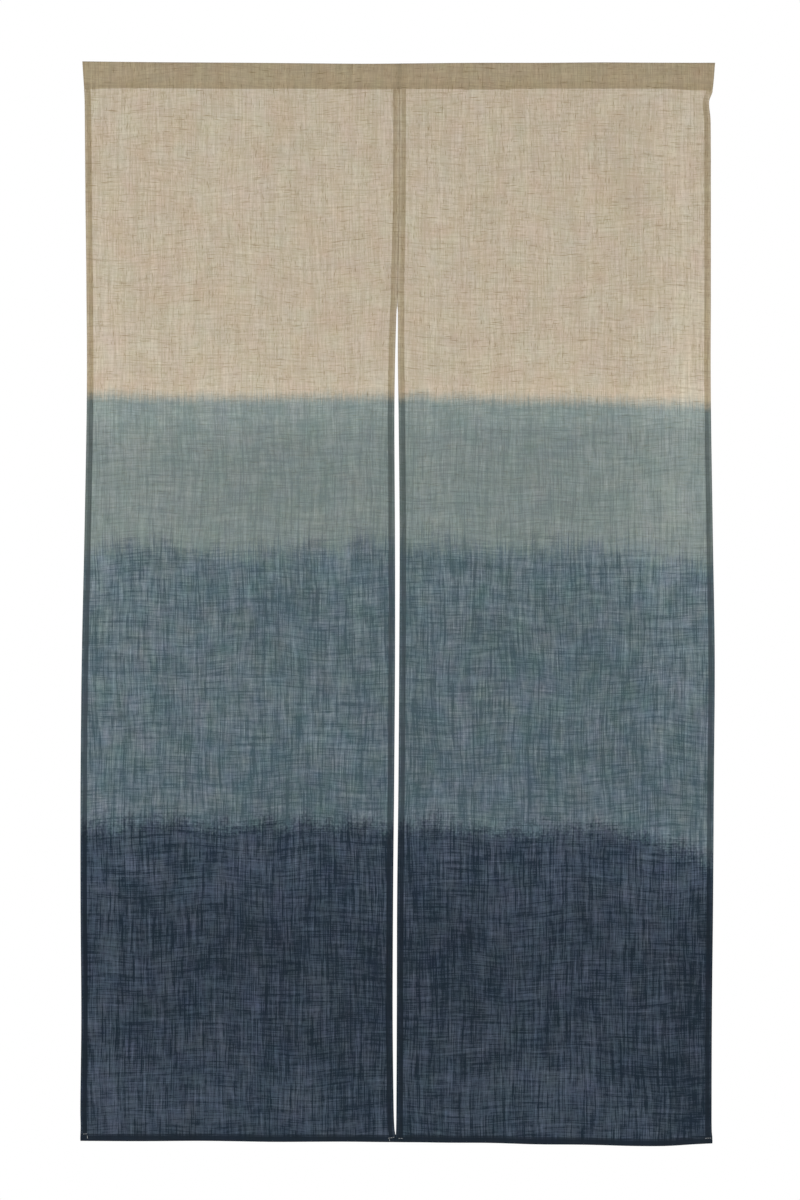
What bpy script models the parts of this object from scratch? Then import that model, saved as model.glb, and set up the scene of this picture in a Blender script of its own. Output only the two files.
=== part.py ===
"""Noren: a split doorway curtain of two dyed cloth widths, hanging flat from its rod sleeve.

The origin is where the centre seam meets the top edge, on which the curtain hangs. X runs to the
viewer's right, Y away from the viewer and Z up. Sizes below are in millimetres. A drop is measured
down from the top edge.
"""

import math
from collections import namedtuple

import bmesh
import bpy

MM = 0.001

# Driving sizes
DROP = 1497.0  # the whole curtain, measured at the centre seam
CLOTH = 1.1  # one layer of cloth
GAP = 0.3  # between two pieces, and between two layers folded on each other
SIDE_HEM = 9.0
LOWER_HEM = 10.0
HEM_THICKNESS = 2.4  # the turned layers, pressed together
HEM_STEP = 0.6  # over which the hem's inner edge rises
ROUND = 0.5  # by which a folded edge is rounded

# The rod sleeve, which is the folded top of the cloth
SLEEVE_DEPTH = 35.2
SLEEVE_STITCH = 32.0  # drop of the row of stitches that closes the pocket
TURN_UNDER = 8.0  # height of the raw edge turned up inside the pocket
POCKET_FRONT = 1.8  # how far the front wall stands forward at its fullest
POCKET_BACK = 6.8  # how far the back wall stands back at its fullest
POCKET_FULLEST = 0.32  # share of the pocket's height above its fullest place
POCKET_ROWS = 8  # up each wall
CROWDING = 1.6  # of those rows towards the top fold

# The cloth's mean colours, linear
DYED = (0.13, 0.18, 0.19)
NATURAL = (0.39, 0.31, 0.21)
ROUGHNESS = 0.9

# How finely the cloth is divided
COLUMNS = 24  # across one width, between its hems
ROW_SPACING = 48.0
SLEEVE_STATIONS = 16

# The cloth's upright edges, from the top to the lower hem. The slit starts as a closed seam.
Outline = namedtuple("Outline", "drop outer_left slit_middle slit_width outer_right")
OUTLINE = (
    Outline(0, -440.2, 0.0, 0.3, 437.9),
    Outline(37, -437.5, 0.0, 0.3, 434.0),
    Outline(51, -436.9, 0.0, 0.3, 429.4),
    Outline(79, -436.6, 0.0, 0.3, 431.4),
    Outline(204, -435.6, -0.6, 0.3, 431.8),
    Outline(329, -434.2, -3.1, 1.2, 431.8),
    Outline(412, -433.6, -4.3, 4.2, 431.5),
    Outline(495, -434.1, -4.2, 6.3, 432.1),
    Outline(662, -437.2, -3.1, 6.8, 434.7),
    Outline(828, -440.8, -3.4, 6.1, 437.2),
    Outline(995, -442.5, -4.5, 6.2, 436.0),
    Outline(1161, -442.6, -6.2, 5.9, 434.9),
    Outline(1328, -441.5, -6.7, 6.0, 433.2),
    Outline(1453, -442.8, -6.3, 4.0, 432.8),
    Outline(1479, -442.4, -5.9, 2.5, 433.0),
    Outline(1491, -442.8, -5.3, 0.3, 433.9),
    Outline(1503, -442.8, -5.2, 0.3, 434.2),
)

# How far the top edge rises over the origin, and the lower edge falls below DROP, across the curtain
Edge = namedtuple("Edge", "x top_rise lower_fall")
EDGES = (
    Edge(-441, 3.0, -2.2),
    Edge(-345, 1.9, -2.0),
    Edge(-220, 1.1, -1.6),
    Edge(-137, 0.4, -1.1),
    Edge(-53, -0.3, -0.6),
    Edge(0, 0.0, -0.4),
    Edge(36, 0.4, -0.4),
    Edge(112, 1.0, 0.8),
    Edge(200, 1.0, 2.3),
    Edge(280, 1.6, 3.9),
    Edge(330, 1.3, 4.9),
    Edge(370, 1.1, 4.6),
    Edge(410, 1.0, 2.3),
    Edge(438, 1.1, 1.1),
)

# The soft folds, from side to side. A ridge has a positive depth and stands towards the viewer.
# Each runs from the sleeve to the lower hem, and its depth is given at three heights.
Fold = namedtuple("Fold", "x_top x_low width_top width_low depth_top depth_mid depth_low")
LEFT_FOLDS = (
    Fold(x_top=-392, x_low=-372, width_top=30, width_low=46, depth_top=0.8, depth_mid=5.2, depth_low=3.4),
    Fold(x_top=-300, x_low=-276, width_top=40, width_low=44, depth_top=-0.8, depth_mid=-3.4, depth_low=-5.4),
    Fold(x_top=-205, x_low=-176, width_top=36, width_low=42, depth_top=1.2, depth_mid=2.6, depth_low=6.2),
    Fold(x_top=-96, x_low=-72, width_top=34, width_low=40, depth_top=-0.9, depth_mid=-2.8, depth_low=-4.8),
)
RIGHT_FOLDS = (
    Fold(x_top=60, x_low=56, width_top=34, width_low=40, depth_top=0.6, depth_mid=2.4, depth_low=4.6),
    Fold(x_top=146, x_low=124, width_top=38, width_low=34, depth_top=-0.8, depth_mid=-2.2, depth_low=-5.2),
    Fold(x_top=236, x_low=192, width_top=32, width_low=36, depth_top=1.4, depth_mid=2.8, depth_low=6.0),
    Fold(x_top=322, x_low=262, width_top=24, width_low=34, depth_top=-3.6, depth_mid=-4.0, depth_low=-3.8),
    Fold(x_top=396, x_low=376, width_top=18, width_low=44, depth_top=3.8, depth_mid=5.6, depth_low=3.2),
)
FOLDS_START = 36.0  # drop at which the folds leave the flat sleeve
FOLDS_FULL = 90.0  # drop by which they have their depth


def smooth_through(rows, key, column, at):
    """The value of a table's column at a place between its rows, on one smooth curve through them."""
    places = [getattr(row, key) for row in rows]
    values = [getattr(row, column) for row in rows]
    if at <= places[0]:
        return values[0]
    if at >= places[-1]:
        return values[-1]
    i = max(n for n, place in enumerate(places) if place <= at)
    span = places[i + 1] - places[i]
    t = (at - places[i]) / span

    def slope(n):
        before, after = max(n - 1, 0), min(n + 1, len(places) - 1)
        return (values[after] - values[before]) / (places[after] - places[before]) * span

    rise = values[i + 1] - values[i]
    start, end = slope(i), slope(i + 1)
    return values[i] + start * t + (3 * rise - 2 * start - end) * t**2 + (start + end - 2 * rise) * t**3


def ease(share):
    """0 to 1 with soft ends."""
    share = min(1.0, max(0.0, share))
    return share * share * (3 - 2 * share)


def width_edges(half, drop):
    """X of the left and right edges of one width."""
    middle = smooth_through(OUTLINE, "drop", "slit_middle", drop)
    gap = max(GAP, smooth_through(OUTLINE, "drop", "slit_width", drop))
    if half == "left":
        return smooth_through(OUTLINE, "drop", "outer_left", drop), middle - gap / 2
    return middle + gap / 2, smooth_through(OUTLINE, "drop", "outer_right", drop)


def height(x, drop):
    """Z of a point of the cloth, between the uneven top and lower edges."""
    share = drop / DROP
    rise = smooth_through(EDGES, "x", "top_rise", x)
    fall = smooth_through(EDGES, "x", "lower_fall", x)
    return rise * (1 - share) - drop - fall * share


def forward(x, drop, folds):
    """How far the folds bring the cloth towards the viewer."""
    down = (drop - FOLDS_START) / (DROP - FOLDS_START)
    total = 0.0
    for fold in folds:
        middle = fold.x_top + (fold.x_low - fold.x_top) * down
        width = fold.width_top + (fold.width_low - fold.width_top) * down
        upper = fold.depth_top + (fold.depth_mid - fold.depth_top) * ease(2 * down)
        depth = upper + (fold.depth_low - fold.depth_mid) * ease(2 * down - 1)
        total += depth * math.exp(-(((x - middle) / width) ** 2))
    return total * ease((drop - FOLDS_START) / (FOLDS_FULL - FOLDS_START))


def panel_columns(left, right):
    """The places across one width, with two close ones where each hem's inner edge steps."""
    inner_left, inner_right = left + SIDE_HEM, right - SIDE_HEM
    spacing = (inner_right - inner_left) / COLUMNS
    columns = [left, left + ROUND, inner_left - HEM_STEP / 2, inner_left + HEM_STEP / 2]
    columns += [inner_left + spacing * n for n in range(1, COLUMNS)]
    columns += [inner_right - HEM_STEP / 2, inner_right + HEM_STEP / 2, right - ROUND, right]
    return columns


def panel_rows():
    """The drops at which a width is drawn: even in the middle, and closer at both ends."""
    start, hem = SLEEVE_DEPTH + GAP, DROP - LOWER_HEM
    upper = [start, 43.0, 51.0, 61.0, 79.0, 108.0]
    first, last = 140.0, 1452.0
    count = round((last - first) / ROW_SPACING)
    middle = [first + (last - first) * n / count for n in range(count + 1)]
    lower = [1479.0, hem - HEM_STEP / 2, hem + HEM_STEP / 2, DROP - ROUND, DROP]
    return upper + middle + lower


def panel_ring(half, folds, drop):
    """One level ring round a width: its front from left to right, then its back again."""
    left, right = width_edges(half, drop)
    columns = panel_columns(left, right)
    front, back = [], []
    for x in columns:
        hemmed = x < left + SIDE_HEM or x > right - SIDE_HEM or drop > DROP - LOWER_HEM
        thickness = HEM_THICKNESS if hemmed else CLOTH
        inset = ROUND if x in (left, right) or drop == DROP else 0.0
        y = -CLOTH / 2 - forward(x, drop, folds)
        z = height(x, drop)
        front.append((x, y + inset, z))
        back.append((x, y + thickness - inset, z))
    return front + back[::-1]


def pocket_bulge(share):
    """How full the pocket is, 0 to 1, at a share of its height below the top fold."""
    return math.sin(math.pi * share ** (math.log(0.5) / math.log(POCKET_FULLEST)))


def sleeve_line():
    """The folded cloth's middle line in section, as (y, drop).

    It goes up the front, over the top, down the back, round the turned edge and up inside.
    """
    top, layer = CLOTH / 2, CLOTH + GAP
    front, back = [], []
    for n in range(1, POCKET_ROWS + 1):
        share = (n / POCKET_ROWS) ** CROWDING
        drop = top + (SLEEVE_STITCH - top) * share
        front.append((-POCKET_FRONT * pocket_bulge(share), drop))
        back.append((2 * layer * ease(4 * share) + (POCKET_BACK - 2 * layer) * pocket_bulge(share), drop))
    fold = SLEEVE_DEPTH - CLOTH / 2
    turned = [(2 * layer, fold), (layer, fold), (layer, SLEEVE_DEPTH - TURN_UNDER)]
    return [(0.0, SLEEVE_DEPTH), *reversed(front), (0.0, top), *back, *turned]


def offset_line(line, distance):
    """A line's points moved square to it, and mitred where it turns."""
    moved = []
    for n, (y, drop) in enumerate(line):
        before = line[n - 1] if n else (2 * y - line[1][0], 2 * drop - line[1][1])
        after = line[n + 1] if n + 1 < len(line) else (2 * y - before[0], 2 * drop - before[1])
        into = math.atan2(drop - before[1], y - before[0])
        out = math.atan2(after[1] - drop, after[0] - y)
        turn = (out - into + math.pi) % (2 * math.pi) - math.pi
        reach = distance / math.cos(turn / 2)
        heading = into + turn / 2
        moved.append((y - math.sin(heading) * reach, drop + math.cos(heading) * reach))
    return moved


def sleeve_rings(half):
    """The folded section at even steps from one end of the half sleeve to the other."""
    section = offset_line(sleeve_line(), CLOTH / 2) + offset_line(sleeve_line(), -CLOTH / 2)[::-1]
    rings = []
    for station in range(SLEEVE_STATIONS + 1):
        ring = []
        for y, drop in section:
            left, right = width_edges(half, drop)
            x = left + (right - left) * station / SLEEVE_STATIONS
            ring.append((x, y, height(x, drop)))
        rings.append(ring)
    return rings


def make_piece(name, rings, material):
    """A closed solid through rings, each of which goes out along one face and back along the other."""
    mesh = bmesh.new()
    loops = [[mesh.verts.new([v * MM for v in point]) for point in ring] for ring in rings]
    count = len(loops[0])
    for first, second in zip(loops, loops[1:]):
        for n in range(count):
            after = (n + 1) % count
            mesh.faces.new((first[n], first[after], second[after], second[n]))
    for end in (loops[0], loops[-1]):
        for n in range(count // 2 - 1):
            mesh.faces.new((end[n], end[n + 1], end[count - 2 - n], end[count - 1 - n]))
    bmesh.ops.recalc_face_normals(mesh, faces=mesh.faces)
    data = bpy.data.meshes.new(name)
    mesh.to_mesh(data)
    mesh.free()
    data.materials.append(material)
    data.shade_smooth()
    data.set_sharp_from_angle(angle=math.radians(40))
    bpy.context.scene.collection.objects.link(bpy.data.objects.new(name, data))


def cloth_material(name, colour):
    """A matt woven cloth of one colour."""
    material = bpy.data.materials.new(name)
    material.use_nodes = True
    surface = material.node_tree.nodes["Principled BSDF"]
    surface.inputs["Base Color"].default_value = (*colour, 1.0)
    surface.inputs["Roughness"].default_value = ROUGHNESS
    surface.inputs["Metallic"].default_value = 0.0
    return material


def main():
    for old in list(bpy.data.objects):
        bpy.data.objects.remove(old)
    dyed = cloth_material("dyed slub linen", DYED)
    natural = cloth_material("natural slub linen", NATURAL)
    for half, folds in (("left", LEFT_FOLDS), ("right", RIGHT_FOLDS)):
        panel = [panel_ring(half, folds, drop) for drop in panel_rows()]
        make_piece(f"{half}_panel", panel, dyed)
        make_piece(f"{half}_sleeve", sleeve_rings(half), natural)


main()
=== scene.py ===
"""Looks of a noren: two slub-woven cloth widths, dip-dyed in level steps from natural down to navy.

Each width is one sheet with turned and sewn hems. Its top is folded back into the rod sleeve. The
widths are joined down to the top of the slit. X runs to the viewer's right, Y away from the viewer
and Z up. Sizes are in millimetres, a drop is measured down from the top edge, and a depth is
measured back from the middle of the cloth's front layer.
"""

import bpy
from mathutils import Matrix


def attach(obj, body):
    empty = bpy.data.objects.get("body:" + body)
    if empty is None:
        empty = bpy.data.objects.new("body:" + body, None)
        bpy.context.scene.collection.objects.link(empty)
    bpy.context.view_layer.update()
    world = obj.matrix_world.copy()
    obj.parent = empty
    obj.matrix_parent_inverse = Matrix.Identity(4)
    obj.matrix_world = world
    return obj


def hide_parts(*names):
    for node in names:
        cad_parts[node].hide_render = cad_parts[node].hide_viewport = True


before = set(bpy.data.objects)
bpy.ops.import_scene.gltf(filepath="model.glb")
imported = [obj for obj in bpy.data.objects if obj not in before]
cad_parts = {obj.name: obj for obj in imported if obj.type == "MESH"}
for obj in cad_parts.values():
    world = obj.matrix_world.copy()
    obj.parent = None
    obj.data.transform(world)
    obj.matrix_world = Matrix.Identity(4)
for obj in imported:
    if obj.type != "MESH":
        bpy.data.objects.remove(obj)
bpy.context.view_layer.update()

import math
import random
from collections import namedtuple

import bpy
import numpy as np
from bpy.props import FloatProperty, FloatVectorProperty, IntProperty, PointerProperty
from mathutils import Vector

bl_info = {
    "name": "Noren Curtain",
    "version": (1, 0, 0),
    "blender": (4, 5, 0),
    "location": "View3D > Sidebar > Noren",
    "description": "Dresses the noren's solids in hemmed, sewn and dip-dyed slub cloth",
    "category": "Object",
}

MM = 0.001
MATH = "ShaderNodeMath"
VECTOR_MATH = "ShaderNodeVectorMath"
NOISE = "ShaderNodeTexNoise"


def table(columns, *rows):
    """Rows of values, each known by the name of its column."""
    Row = namedtuple("Row", columns)
    return tuple(Row(*row) for row in rows)


# Sizes of the solids, which the cloth keeps to
DROP = 1497.0
SIDE_HEM = 9.0
LOWER_HEM = 10.0
SLEEVE_DEPTH = 35.2
SLEEVE_STITCH = 32.0
PANEL_TOP = 35.35  # the drop at which each width begins, just under its sleeve
POCKET_FRONT = 1.8  # how far the sleeve stands out in front
POCKET_BACK = 6.8  # and behind
POCKET_FULLEST = 0.32  # the share of the sleeve's depth at which it is fullest
CROWDING = 1.6  # the power by which its rows crowd towards the top fold
FRONT_LAYER = -0.3  # Y of the middle of the cloth's front layer where it hangs flat
SEAM_END = 280.0  # the drop down to which the two widths touch
SLIT_START = 333.0  # the drop down to which they are sewn together

# Sizes of the cloth before it is drawn to its hanging edges
NOMINAL = 436.0  # one hemmed width
UNSTRETCHED = 16.0  # what keeps its size along each edge
RAW_TURN = 2.9  # from a hem's fold to its raw edge, turned under

# Heights of the uneven waves in the cloth and along its sewn lines
RIPPLE = 0.35
SIDE_PUCKER = 0.22
HEADING_PUCKER = 0.3
LOWER_PUCKER = 0.25
SLEEVE_RIPPLE = 0.35
SLEEVE_PUCKER = 0.18

# Outline of both widths, down the curtain
OUTLINE = table(
    "drop outer_left slit_middle slit_width outer_right",
    (0, -440.2, 0.0, 0.0, 437.9),
    (37, -437.5, 0.0, 0.0, 434.0),
    (51, -436.9, 0.0, 0.0, 429.4),
    (79, -436.6, 0.0, 0.0, 431.4),
    (204, -435.6, -0.6, 0.0, 431.8),
    (285, -434.6, -2.4, 0.5, 431.8),
    (335, -434.2, -3.2, 0.7, 431.8),
    (343, -434.1, -3.3, 2.2, 431.8),
    (412, -433.6, -4.3, 4.2, 431.5),
    (495, -434.1, -4.2, 6.3, 432.1),
    (662, -437.2, -3.1, 6.8, 434.7),
    (828, -440.8, -3.4, 6.1, 437.2),
    (995, -442.5, -4.5, 6.2, 436.0),
    (1161, -442.6, -6.2, 5.9, 434.9),
    (1328, -441.5, -6.7, 6.0, 433.2),
    (1453, -442.8, -6.3, 4.0, 432.8),
    (1479, -442.4, -5.9, 2.5, 433.0),
    (1491, -442.8, -5.3, 0.1, 433.9),
    (1503, -442.8, -5.2, 0.1, 434.2),
)

# How far the top edge rises and the lower one falls, across the curtain
EDGES = table(
    "x top_rise lower_fall",
    (-441, 3.0, -2.2),
    (-345, 1.9, -2.0),
    (-220, 1.1, -1.6),
    (-137, 0.4, -1.1),
    (-53, -0.3, -0.6),
    (0, 0.0, -0.4),
    (36, 0.4, -0.4),
    (112, 1.0, 0.8),
    (200, 1.0, 2.3),
    (280, 1.6, 3.9),
    (330, 1.3, 4.9),
    (370, 1.1, 4.6),
    (410, 1.0, 2.3),
    (438, 1.1, 1.1),
)

# How far the sewn line under the sleeve sags
SAGS = table(
    "x depth",
    (-440, 3.8),
    (-400, 1.6),
    (-345, 0.9),
    (-220, 1.0),
    (-137, 0.1),
    (-30, 0.3),
    (50, 0.4),
    (112, 1.8),
    (190, 0.4),
    (280, 1.0),
    (370, 0.9),
    (410, 2.8),
    (438, 3.2),
)

# Folds, from the sleeve down. A ridge has a positive depth.
FOLD = "x_top x_low width_top width_low depth_top depth_mid depth_low"
FOLDS = {
    "left": table(
        FOLD,
        (-392, -372, 30, 46, 0.8, 5.2, 3.4),
        (-300, -276, 40, 44, -0.8, -3.4, -5.4),
        (-205, -176, 36, 42, 1.2, 2.6, 6.2),
        (-96, -72, 34, 40, -0.9, -2.8, -4.8),
    ),
    "right": table(
        FOLD,
        (60, 56, 34, 40, 0.6, 2.4, 4.6),
        (146, 124, 38, 34, -0.8, -2.2, -5.2),
        (236, 192, 32, 36, 1.4, 2.8, 6.0),
        (322, 262, 24, 34, -3.6, -4.0, -3.8),
        (396, 376, 18, 44, 3.8, 5.6, 3.2),
    ),
}
FOLDS_START = 36.0  # the drop at which they begin
FOLDS_FULL = 90.0  # and that at which they have their depth

# Soft creases on top of the folds, a ridge with a positive height. The lean is in degrees.
CREASES = table(
    "x drop lean length width height",
    (424, 52, -38, 16, 5, 1.6),
    (412, 66, -30, 20, 7, -1.2),
    (320, 190, 6, 80, 13, -1.3),
    (383, 150, -4, 110, 15, 1.1),
    (258, 680, 12, 70, 17, -1.4),
    (388, 672, -6, 90, 24, 1.5),
    (110, 560, -24, 60, 14, -0.9),
    (180, 960, 20, 90, 18, 1.2),
    (-352, 760, -22, 90, 16, 1.5),
    (-300, 860, -30, 70, 14, -1.1),
    (-190, 560, 8, 80, 18, -1.0),
    (-120, 1180, 28, 90, 16, 1.3),
    (-388, 330, 4, 90, 14, 0.9),
)

# Patches where the cloth is paler, or darker where the tone is negative. The two at x 388 and 322,
# near the top of the right width, are a painted highlight and painted shade along a fold.
PALE_PATCHES_AND_FOLD_SHADE = table(
    "x drop across down tone",
    (404, 400, 50, 190, 0.35),
    # a painted highlight and painted shade along a fold of the right width
    (388, 140, 24, 90, 0.25),
    (322, 150, 20, 100, -0.25),
    (-418, 360, 35, 130, 0.25),
    (370, 585, 75, 100, 0.3),
    (-390, 565, 80, 100, 0.18),
    (-120, 610, 150, 70, -0.08),
    (57, 600, 60, 50, 0.14),
    (-390, 800, 100, 140, 0.14),
    (380, 760, 60, 150, 0.18),
    (90, 940, 125, 90, -0.05),
    (-190, 1015, 110, 45, -0.1),
    (280, 980, 60, 45, -0.1),
    (-408, 1220, 35, 150, 0.15),
    (370, 1135, 70, 45, 0.16),
    (45, 1210, 70, 120, -0.15),
    (-180, 1232, 75, 50, -0.14),
    (-55, 1310, 50, 120, -0.14),
    (404, 1285, 45, 90, -0.24),
    (-390, 1420, 70, 55, 0.14),
    (-215, 1425, 120, 50, 0.1),
    (220, 1418, 85, 50, 0.16),
    (412, 1440, 50, 50, -0.28),
)

# What the cloth looks like after each bath, the second of which has a paler head than foot
BATHS = ("natural", "pale", "middle", "deeper", "navy")

# Drops at which each bath of dye ends, across the curtain
DYE_LINES = table(
    "x first second third",
    (-440, 458, 686, 1059),
    (-346, 461, 668, 1048),
    (-276, 463, 678, 1053),
    (-138, 462, 673, 1053),
    (18, 461, 662, 1057),
    (157, 465, 672, 1062),
    (295, 467, 671, 1064),
    (365, 471, 684, 1078),
    (440, 473, 692, 1112),
)
# The drop in the middle of each line, about which its curve runs
DYE_MIDDLES = {"first": 464.0, "second": 672.0, "third": 1066.0}
DYE_SPAN = 100.0  # the height that the curve of a dye line can cover
CURTAIN_SPAN = 900.0  # the width that it covers
YARNS_APART = 1.37  # places in the noise from one yarn to the next, so that no two are alike

# Unevenness of single yarns, as shares of the tone, by the length of their thick and thin places
YARN_TONES = table(
    "system length weight",
    ("warp", 26.0, 1.05),
    ("warp", 7.0, 0.55),
    ("weft", 28.0, 0.75),
    ("weft", 6.0, 0.45),
)
# Shares of the tone that yarns lying together make, across and down the cloth in millimetres
STREAKS = table(
    "across along weight",
    (3.4, 60.0, 0.6),
    (48.0, 4.0, 0.4),
)
# Thick slubs, which stand out one by one
SLUBS = table(
    "system length weight",
    ("warp", 46.0, -0.6),
    ("weft", 36.0, -0.35),
)
CLOUD_WEIGHT = 0.62  # the share of clouds a hand wide
OPEN_SHARE = 0.48  # how far the tone of even cloth lies from its thick yarns to its open weave
HOLE_SHINE = 1.9  # how much paler a hole between the yarns is, times the tone there
MEAN_HOLE = 0.132  # the mean of openings() over the cloth

# How pale the cloth is down its length, partly as the dye has settled and partly painted light and
# shade down the cloth. Each bath is palest just under its line.
SETTLING_AND_LIGHT_FALL = table(
    "drop share",
    (0, 1.02),
    (160, 1.03),
    (300, 1.03),
    (430, 1.05),
    (482, 1.13),
    (522, 0.98),
    (640, 0.97),
    (705, 1.03),
    (785, 0.985),
    (850, 1.0),
    (930, 1.02),
    (1035, 1.04),
    (1085, 1.2),
    (1130, 1.16),
    (1210, 1.0),
    (1280, 1.0),
    (1370, 1.0),
    (1440, 1.07),
    (1500, 1.06),
)
SETTLE_AND_LIGHT_SPAN = 1500.0
SETTLE_AND_LIGHT_TOP = 1.5  # the most that the curve can give

# How raggedly each bath ends, in millimetres
SOAKS = table(
    "bath climb spread speckle soft",
    ("first", 12.0, 12.0, 5.0, 13.0),
    ("second", 30.0, 65.0, 10.0, 22.0),
    ("third", 20.0, 45.0, 26.0, 17.0),
)

# Each tack is drawn from one (x, drop) to another
TACKS = table(
    "half x drop x_end drop_end",
    ("left", -439.2, 1487.4, -436.6, 1487.3),
    ("left", -436.2, 1487.2, -433.4, 1487.0),
    ("left", -433.2, 1489.4, -433.0, 1494.2),
    ("left", -440.9, 815.0, -438.4, 815.3),
    ("left", -16.0, 1491.8, -13.2, 1491.4),
    ("left", -12.8, 1491.3, -10.0, 1490.8),
    ("left", -9.7, 1490.7, -7.2, 1490.2),
    ("left", -13.9, 1492.6, -13.8, 1496.0),
    ("right", -1.6, 1491.7, 1.2, 1491.8),
    ("right", 1.6, 1491.8, 4.4, 1491.9),
    ("right", 423.8, 1489.6, 426.6, 1489.5),
    ("right", 426.9, 1489.5, 429.6, 1489.5),
    ("right", 429.9, 1489.5, 432.3, 1489.6),
)

# Lamps, in metres and watts
LAMPS = table(
    "name place width height watts",
    ("strip box left", (-1.5, -1.35, -0.72), 0.5, 2.2, 13.0),
    ("strip box right", (1.5, -1.35, -0.72), 0.5, 2.2, 12.4),
    ("key box", (-2.2, -3.6, 1.0), 1.4, 1.4, 26.0),
    ("soft box behind", (0.8, 4.2, 0.6), 2.2, 2.2, 48.0),
)
AIM = (0.0, 0.0, -0.75)  # what each lamp points at


def linear(code):
    """Linear colour of an sRGB hex value."""
    parts = [int(code[n : n + 2], 16) / 255 for n in (1, 3, 5)]
    return tuple(c / 12.92 if c <= 0.04045 else ((c + 0.055) / 1.055) ** 2.4 for c in parts)


def length(name, description, default):
    """A size that a user can change. Its default is in millimetres."""
    return FloatProperty(name=name, description=description, default=default * MM, unit="LENGTH")


def dye(name, description, code):
    """A colour that a user can change. Its default is an sRGB hex value."""
    colour = linear(code)
    return FloatVectorProperty(
        name=name, description=description, default=colour, subtype="COLOR"
    )


class NorenSizes(bpy.types.PropertyGroup):
    """Sizes of the cloth, its yarns and its sewing."""

    cloth: length("Cloth", "Thickness of one layer", 0.45)
    layer_step: length("Layer Step", "From the middle of one folded layer to that of the next", 0.6)
    warp_step: length("Warp Step", "From one upright yarn to the next", 0.9)
    weft_step: length("Weft Step", "From one level yarn to the next", 0.95)
    stitch: length("Stitch", "Length of one stitch", 2.8)
    stitch_gap: length("Stitch Gap", "Between two stitches", 0.5)
    thread: length("Thread", "Thickness of the sewing thread", 0.32)
    slubs: IntProperty(
        name="Slubs", description="Thick places in the yarns of one face of a width", default=620
    )


class NorenDyes(bpy.types.PropertyGroup):
    """Colours of the cloth after each bath: thick yarns, thin open ones, and folded cloth, which is
    darker with painted shade, as less light comes through its layers.
    """

    natural_thick: dye("Natural, Thick", "Thick undyed yarns", "#B6A994")
    natural_open: dye("Natural, Open", "Open undyed weave", "#CBC0AE")
    natural_folded: dye("Natural, Folded", "Undyed hems", "#A5967B")
    pale_thick: dye("Pale, Thick", "Thick yarns, first bath", "#74807F")
    pale_open: dye("Pale, Open", "Open weave, first bath", "#919C99")
    pale_folded: dye("Pale, Folded", "Hems, first bath", "#596362")
    middle_thick: dye("Middle, Thick", "Thick yarns, second bath", "#47585F")
    middle_open: dye("Middle, Open", "Open weave, second bath", "#79898F")
    middle_folded: dye("Middle, Folded", "Hems, second bath", "#465258")
    deeper_thick: dye("Deeper, Thick", "Thick yarns, its foot", "#44555D")
    deeper_open: dye("Deeper, Open", "Open weave, its foot", "#76848C")
    deeper_folded: dye("Deeper, Folded", "Hems, its foot", "#3C4850")
    navy_thick: dye("Navy, Thick", "Thick yarns, last bath", "#1B2733")
    navy_open: dye("Navy, Open", "Open weave, last bath", "#4D5968")
    navy_folded: dye("Navy, Folded", "Hems, last bath", "#1B2530")
    bark: dye("Bark", "Tint of the bark left in the yarns", "#C0B394")
    tack: dye("Tack", "Thread of the corner tacks", "#A0A3A4")
    floor: dye("Floor", "Pale floor of the stage", "#E4E3E0")


# Shape of the cloth


def smooth_through(rows, key, column, at):
    """A table's column at places between its rows, on one smooth curve through them."""
    places = np.array([getattr(row, key) for row in rows], float)
    values = np.array([getattr(row, column) for row in rows], float)
    at = np.clip(np.asarray(at, float), places[0], places[-1])
    i = np.clip(np.searchsorted(places, at, side="right") - 1, 0, len(places) - 2)
    padded_places = np.concatenate([places[:1], places, places[-1:]])
    padded_values = np.concatenate([values[:1], values, values[-1:]])
    slopes = (padded_values[2:] - padded_values[:-2]) / (padded_places[2:] - padded_places[:-2])
    span = places[i + 1] - places[i]
    t = (at - places[i]) / span
    rise = values[i + 1] - values[i]
    start, end = slopes[i] * span, slopes[i + 1] * span
    bend, twist = 3 * rise - 2 * start - end, start + end - 2 * rise
    return values[i] + start * t + bend * t**2 + twist * t**3


def ease(share):
    """0 to 1 with soft ends."""
    share = np.clip(share, 0.0, 1.0)
    return share * share * (3 - 2 * share)


def width_edges(half, drop):
    """X of the left and right edges of one width."""
    middle = smooth_through(OUTLINE, "drop", "slit_middle", drop)
    gap = np.maximum(0.0, smooth_through(OUTLINE, "drop", "slit_width", drop))
    if half == "left":
        return smooth_through(OUTLINE, "drop", "outer_left", drop), middle - gap / 2
    return middle + gap / 2, smooth_through(OUTLINE, "drop", "outer_right", drop)


def ripple(along, length, phase):
    """An uneven wave between about -1 and 1."""
    turn = 2 * math.pi * along / length
    return (np.sin(turn + phase) + 0.7 * np.sin(turn * 0.618 + 2.3 * phase)) / 1.7


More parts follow.
